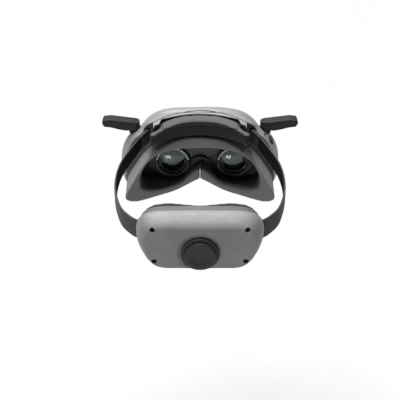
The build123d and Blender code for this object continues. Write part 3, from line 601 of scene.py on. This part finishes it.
# ---------------------------------------------------------------- camera, floor, light
def camera():
    """Camera behind and above, looking at the rear unit and into the eyepieces."""
    cam = bpy.data.cameras.new("camera")
    cam.lens, cam.sensor_width = 83.80, 36
    obj = bpy.data.objects.new("camera", cam)
    SCENE.collection.objects.link(obj)
    obj.location = (0, 0.82724, 0.53158)
    aim = Vector((0, 0.090, 0.015357)) - obj.location
    obj.rotation_mode = "QUATERNION"
    obj.rotation_quaternion = aim.to_track_quat("-Z", "Y")
    cam.clip_start, cam.clip_end = 0.01, 50
    SCENE.camera = obj


def area_light(name, at, aim, wide, high, power):
    """Rectangular light at one point, aimed at another."""
    light = bpy.data.lights.new(name, "AREA")
    light.shape = "RECTANGLE"
    light.size, light.size_y = wide, high
    light.energy = power
    obj = bpy.data.objects.new(name, light)
    SCENE.collection.objects.link(obj)
    obj.location = at
    obj.rotation_mode = "QUATERNION"
    obj.rotation_quaternion = (Vector(aim) - Vector(at)).to_track_quat("-Z", "Y")


def studio():
    """Soft overhead light, a low one for the glints in the lenses, and a pale floor."""
    world = bpy.data.worlds.new("studio")
    world.use_nodes = True
    SCENE.world = world
    background = world.node_tree.nodes["Background"]
    background.inputs["Color"].default_value = (1, 1, 1, 1)
    background.inputs["Strength"].default_value = 0.06
    SCENE.view_settings.view_transform = "Standard"
    SCENE.view_settings.look = "None"
    sun = bpy.data.lights.new("overhead", "SUN")
    sun.energy, sun.angle = 7.4, radians(55)
    lamp = bpy.data.objects.new("overhead", sun)
    SCENE.collection.objects.link(lamp)
    lamp.rotation_mode = "QUATERNION"
    lamp.rotation_quaternion = Vector((-0.18, 0.27, -1.0)).to_track_quat("-Z", "Y")
    area_light("lens_window", (0.50, 1.5, -0.22), (0.0, 0, 0.005), 0.52, 0.34, 4.2)
    bm = bmesh.new()
    bmesh.ops.create_grid(bm, x_segments=60, y_segments=60, size=6)
    mesh = bpy.data.meshes.new("floor")
    bm.to_mesh(mesh)
    bm.free()
    m = Mat("floor_white")
    m.colour(m.ramp(m.noise(6, 3), (0.415, 0.415, 0.415), (0.43, 0.43, 0.43)))
    m.rough(m.spread(m.noise(20, 3), 0.75, 0.85))
    floor = new_object("floor", mesh, m.m)
    floor.location = (0, 0, FLOOR_Z)


camera()
studio()


# ---------------------------------------------------------------- soft pieces
def swept_pad(node, name, slot, voxel, rounds, pressure=0.0, cap=0.0):
    """A soft pad in a CAD node's place: remeshed, rounded, and, when given a pressure, swollen by cloth simulation.
    """
    pad = welded_copy(node, name, MATERIALS[slot])
    applied(pad, "REMESH", mode="VOXEL", voxel_size=voxel)
    soften(pad, rounds)
    if pressure:
        puffed(pad, pressure, cap)
        relax(pad, 6)
    return pad


def fitted(pad, node):
    """Scales a pad back about its middle to the size of its CAD node."""
    low, high = (np.array(c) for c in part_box(node))
    co = coords(pad)
    a, b = co.min(0), co.max(0)
    share = (high - low) / (b - a)
    set_coords(pad, (co - (a + b) / 2) * share + (low + high) / 2)


def on_body(obj, body):
    """Fixes a piece to a body."""
    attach(obj, body)


def finish_pad(pad, node, body):
    """Fixes a soft pad to a body, in a CAD node's place."""
    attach(pad, body)
    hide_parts(node)


def face_foam():
    """Foam ring round the face, with a bead along its root and a row of stitches."""
    foam = swept_pad("face_foam", "face_foam_ring", "foam_grey", 0.0011, 10)
    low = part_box("face_foam")[0]
    root = cuts(foam, (0, low.y + 0.0006, 0), (0, 1, 0))[0]
    bead = spline_points(evenly(root, 220, True), 520, True)
    piping = tube("face_foam_piping", bead, 0.0007, PIPING, True, 8)
    on_body(piping, "visor")
    finish_pad(foam, "face_foam", "visor")
    seam = cuts(foam, (0, low.y + 0.0042, 0), (0, 1, 0))[0]
    line = evenly(seam, 900, True)
    thread = stitches("face_foam_stitches", line, THREAD, pitch=0.0023, length=0.0014, radius=0.00016)
    on_body(thread, "visor")


def forehead_pad():
    """Forehead pad with two piped seams."""
    pad = swept_pad("forehead_cushion", "forehead_pad", "pad_dark", 0.0012, 2, 3.0, 0.0008)
    fitted(pad, "forehead_cushion")
    low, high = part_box("forehead_cushion")
    finish_pad(pad, "forehead_cushion", "visor")
    for name, share in (("upper", 0.80), ("lower", 0.16)):
        loop = cuts(pad, (0, 0, low.z + share * (high.z - low.z)), (0, 0, 1))[0]
        loop = spline_points(evenly(loop, 160, True), 420, True)
        bead = tube(f"forehead_pad_piping_{name}", loop, 0.00045, PIPING, True, 8)
        on_body(bead, "visor")


def rear_cushion():
    """Cushion on the rear unit, piped along its root."""
    pad = swept_pad("rear_pad", "rear_cushion", "rear_pad_dark", 0.0013, 6, 2.5, 0.0008)
    fitted(pad, "rear_pad")
    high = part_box("rear_pad")[1]
    finish_pad(pad, "rear_pad", "rear_unit")
    loop = cuts(pad, (0, high.y - 0.0014, 0), (0, 1, 0))[0]
    loop = spline_points(evenly(loop, 120, True), 360, True)
    bead = tube("rear_cushion_piping", loop, 0.0005, PIPING, True, 8)
    on_body(bead, "rear_unit")


face_foam()
forehead_pad()
rear_cushion()


# ---------------------------------------------------------------- headband
# left band's centre line in plan, in mm
BAND_PLAN = [(59.1, 27.5), (64.8, 45), (75.7, 85), (77.3, 125), (70.3, 160), (60.5, 177), (51.8, 185)]
BAND_HALF_T, BAND_ROWS = 0.00096, 22
SELVEDGE = 0.14              # share of the half height


def band_section():
    """Outline of the band's cross-section: share of its half height, distance outwards."""
    outer = []
    for i in range(BAND_ROWS + 1):
        v = -1 + 2 * i / BAND_ROWS
        rim = 0.86 if 1 - abs(v) < SELVEDGE else 1.0
        outer.append((v * 0.988, BAND_HALF_T * (1 - 0.25 * abs(v) ** 12) * rim))
    return outer + [(v, -t) for v, t in reversed(outer)]


def band_heights(y):
    """Height of the band's middle, and its half height, at y."""
    y /= MM
    share = (y - 8.0) / (185.0 - 8.0)
    return 0.0415 + share * 0.009, 0.007 + (y - 3.6) / (200.0 - 3.6) * 0.003


def strap(side):
    """Woven band on its edge: two faces with rounded selvedges, dark inside."""
    node = f"{side}_strap"
    sign = 1 if side == "left" else -1
    low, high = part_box(node)
    plan = spline_points([(x * MM, y * MM) for x, y in BAND_PLAN], 150)
    plan = np.array([q for q in plan if q[1] >= low.y - 0.0001])
    step = np.linalg.norm(np.diff(plan, axis=0), axis=1)
    along = np.concatenate([[0], np.cumsum(step)])
    ahead = np.gradient(plan, axis=0)
    ahead /= np.linalg.norm(ahead, axis=1, keepdims=True)
    out = np.stack([ahead[:, 1], -ahead[:, 0]], 1)
    section = band_section()
    verts, uvs = [], []
    for (x, y), s, (ox, oy) in zip(plan, along, out):
        centre, half = band_heights(y)
        for v, t in section:
            verts.append((sign * (x + ox * t), y + oy * t, centre + v * half))
            uvs.append((s, v * half))
    n, faces = len(section), []
    for i in range(len(plan) - 1):
        for k in range(n):
            m = (k + 1) % n
            faces.append((i * n + k, (i + 1) * n + k, (i + 1) * n + m, i * n + m))
    faces.append(tuple(range(n)))
    faces.append(tuple((len(plan) - 1) * n + k for k in reversed(range(n))))
    band = mesh_from(f"{side}_band", verts, faces, MATERIALS["band_grey"])
    band.data.materials.append(BAND_INNER)
    layer = band.data.uv_layers.new(name="band")
    for poly in band.data.polygons:
        inner = all(v % n > BAND_ROWS for v in poly.vertices)
        poly.material_index = 1 if inner else 0
        for loop in poly.loop_indices:
            layer.data[loop].uv = uvs[band.data.loops[loop].vertex_index]
    bm = bmesh.new()
    bm.from_mesh(band.data)
    bmesh.ops.recalc_face_normals(bm, faces=bm.faces)
    bm.to_mesh(band.data)
    bm.free()
    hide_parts(node)
    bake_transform(band)


BAND_INNER = webbing("band_inner", (0.007, 0.007, 0.0075), 0.0, 0.04)
strap("left")
strap("right")


# ---------------------------------------------------------------- eyepieces
LENS_R, INNER_R = 0.0325, 0.040      # radii of curvature
INNER_Y, INNER_EDGE = -0.0090, 0.0124
TICKS, TICK_HALF = 30, 0.00024
TICK_SECTION = [(0.0160, -0.0015), (0.0173, -0.0015), (0.0173, -0.0022), (0.0160, -0.0022)]
TICK_FACES = [(0, 1, 3, 2), (2, 3, 5, 4), (4, 5, 7, 6), (6, 7, 1, 0), (0, 2, 4, 6), (1, 7, 5, 3)]
MOUTH = [(0.01555, -0.0024), (0.0158, -0.0018), (0.0166, -0.0016), (0.0174, -0.0019),
         (0.0178, -0.0026), (0.0178, -0.0034), (0.01555, -0.0034)]


def dome(radius, r):
    """Fall of a sphere's surface at r from its axis."""
    return sqrt(radius * radius - r * r) - radius


def lens_profile(edge, back):
    """Front glass: domed face, ground edge and slightly hollow back."""
    rows = [(0.0, 0.0)]
    for i in range(1, 25):
        r = (edge - 0.0003) * i / 24
        rows.append((r, dome(LENS_R, r)))
    rows.append((edge - 0.00005, rows[-1][1] - 0.0003))
    rows.append((edge - 0.00005, back + 0.0001))
    for i in range(8, -1, -1):
        r = (edge - 0.0025) * i / 8
        rows.append((r, back + 0.0012 * (1 - (i / 8) ** 2)))
    return rows


def baffle_profile():
    """Stepped light trap behind the glass, ending in a narrow stop."""
    rows = [(0.01285, -0.0083)]
    for i in range(9):
        y = -0.0088 - 0.00145 * i
        r = 0.01285 - 0.00022 * i
        rows += [(r, y), (r - 0.0005, y - 0.0003), (r - 0.0001, y - 0.0012)]
    return rows + [(0.0100, -0.0224), (0.0088, -0.0227), (0.0088, -0.0231), (0.0127, -0.0233)]


def inner_profile():
    """Second element of the eyepiece."""
    rows = [(0.0, INNER_Y)]
    for i in range(1, 13):
        r = INNER_EDGE * i / 12
        rows.append((r, INNER_Y + dome(INNER_R, r)))
    return rows + [(INNER_EDGE, -0.0122), (0.0, -0.0122)]


def ticks(side, centre):
    """Bright metal ticks round the upper half of an eyepiece's mouth, placed for painted glints along the top of
    the ring.
    """
    verts, faces = [], []
    for i in range(TICKS):
        a = radians(12 + 156 * i / (TICKS - 1))
        u, w = np.array([cos(a), 0, sin(a)]), np.array([-sin(a), 0, cos(a)])
        base = len(verts)
        for r, y in TICK_SECTION:
            for half in (-TICK_HALF, TICK_HALF):
                verts.append(np.array([centre[0], y, centre[2]]) + u * r + w * half)
        faces += [tuple(base + k for k in q) for q in TICK_FACES]
    return mesh_from(f"{side}_lens_glint_ticks", verts, faces, GLINT_TICK_METAL, False)


def eyepiece(side):
    """Glass, baffle and inner element of one eyepiece, and the ticked ring round its mouth, its bright ticks
    standing in for glints.
    """
    low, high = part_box(f"{side}_eyepiece")
    centre = ((low.x + high.x) / 2, 0, (low.z + high.z) / 2)
    rows = lens_profile((high.x - low.x) / 2, low.y - high.y)
    glass = lathe(f"{side}_lens", rows, (centre[0], high.y, centre[2]), MATERIALS["lens_glass"])
    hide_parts(f"{side}_eyepiece")
    on_body(glass, f"{side}_optics")
    sleeve = lathe(f"{side}_baffle", baffle_profile(), centre, MATERIALS["bezel_black"])
    on_body(sleeve, f"{side}_optics")
    element = lathe(f"{side}_inner_lens", inner_profile(), centre, INNER_GLASS)
    on_body(element, f"{side}_optics")
    mouth = lathe(f"{side}_lens_ring", MOUTH, centre, MATERIALS["bezel_black"])
    on_body(mouth, f"{side}_optics")
    on_body(ticks(side, centre), f"{side}_optics")


INNER_GLASS = coated_glass("inner_glass", (0.012, 0.022, 0.020), 0.0, 0.06)
# bright metal for the ticks: painted glints round the top of each eyepiece's mouth
GLINT_TICK_METAL = metal("tick_glint", (0.62, 0.66, 0.65), 0.25, False)
eyepiece("left")
eyepiece("right")


# ---------------------------------------------------------------- small parts of the visor
SENSOR_X, SENSOR_Z, SLOT_Z = 0.0082, 0.0068, 0.0165
SENSOR_ROWS = [(0.0, 0.0011), (0.0004, 0.00105), (0.0007, 0.0008), (0.00085, 0.0004), (0.00085, -0.0006)]
SLOT_HALF_W, SLOT_HALF_H = 0.0046, 0.0005
SLOT_SHAPE = [(-1, -0.6), (-0.94, -1), (0.94, -1), (1, -0.6), (1, 0.6), (0.94, 1), (-0.94, 1), (-1, 0.6)]


def nose_seam():
    """Pale flexible web that joins the two foam flaps under the nose."""
    tree = surface_of(bpy.data.objects["face_foam_ring"])
    slant = Vector((0, -0.82, -0.57)).normalized()
    path = []
    for i in range(30):
        hit = tree.ray_cast(Vector((0.0019, 0.08, 0.0645 - 0.001 * i)), slant)[0]
        if hit is not None and hit.y > 0.0035:
            path.append((0.0, hit.y, hit.z))
    web = tube("nose_web", spline_points(path, 60), 0.00105, NOSE_WEB, flat=0.45)
    on_body(web, "visor")


def wear_sensors():
    """Two small pale beads and a slot in the bezel between the eyepieces; the beads' pale colour is a painted
    glint.
    """
    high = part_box("inner_bezel")[1]
    for name, x in (("left", SENSOR_X), ("right", -SENSOR_X)):
        bead = lathe(f"{name}_wear_sensor", SENSOR_ROWS, (x, high.y, SENSOR_Z), GLINT_BEAD_GLASS, 24)
        on_body(bead, "visor")
    outline = [(x * SLOT_HALF_W, z * SLOT_HALF_H) for x, z in SLOT_SHAPE]
    verts = [(x, high.y + y, SLOT_Z + z) for y in (-0.0004, 0.0002) for x, z in outline]
    faces = [tuple(range(8)), tuple(reversed(range(8, 16)))]
    faces += [(k, k + 8, (k + 1) % 8 + 8, (k + 1) % 8) for k in range(8)]
    on_body(mesh_from("wear_sensor_slot", verts, faces, SENSOR_DARK, False), "visor")


def brow_shade_line():
    """Narrow dark grey strip on the brow, in front of its rear edge: painted shade, for the darker band where the
    brow rounds off towards the rear.
    """
    tree = surface_of(NODES["front_shell"])
    line = []
    for i in range(97):
        x = (-49.5 + 99.0 * i / 96) * MM
        y = HEAD_Y * MM - sqrt((SHADE_LINE_R * MM) ** 2 - x * x)
        hit = tree.ray_cast(Vector((x, y, 0.09)), Vector((0, 0, -1)))[0]
        if hit is not None:
            line.append((x, y, hit.z + 0.0001))
    # painted shade: a dark grey line on the pale brow where it rounds off to the rear
    strip = tube("brow_shade_line", spline_points(line, 160), 0.00045, MATERIALS["frame_grey"])
    on_body(strip, "visor")


NOSE_WEB = rubber("nose_web", (0.42, 0.42, 0.42), 0.5)
SENSOR_DARK = rubber("sensor_slot", (0.010, 0.010, 0.011), 0.4)
# painted glint: the beads' pale colour stands in for the light they catch
GLINT_BEAD_GLASS = coated_glass("sensor_glint_bead", (0.55, 0.60, 0.60), 0.2, 0.08)
nose_seam()
wear_sensors()
brow_shade_line()
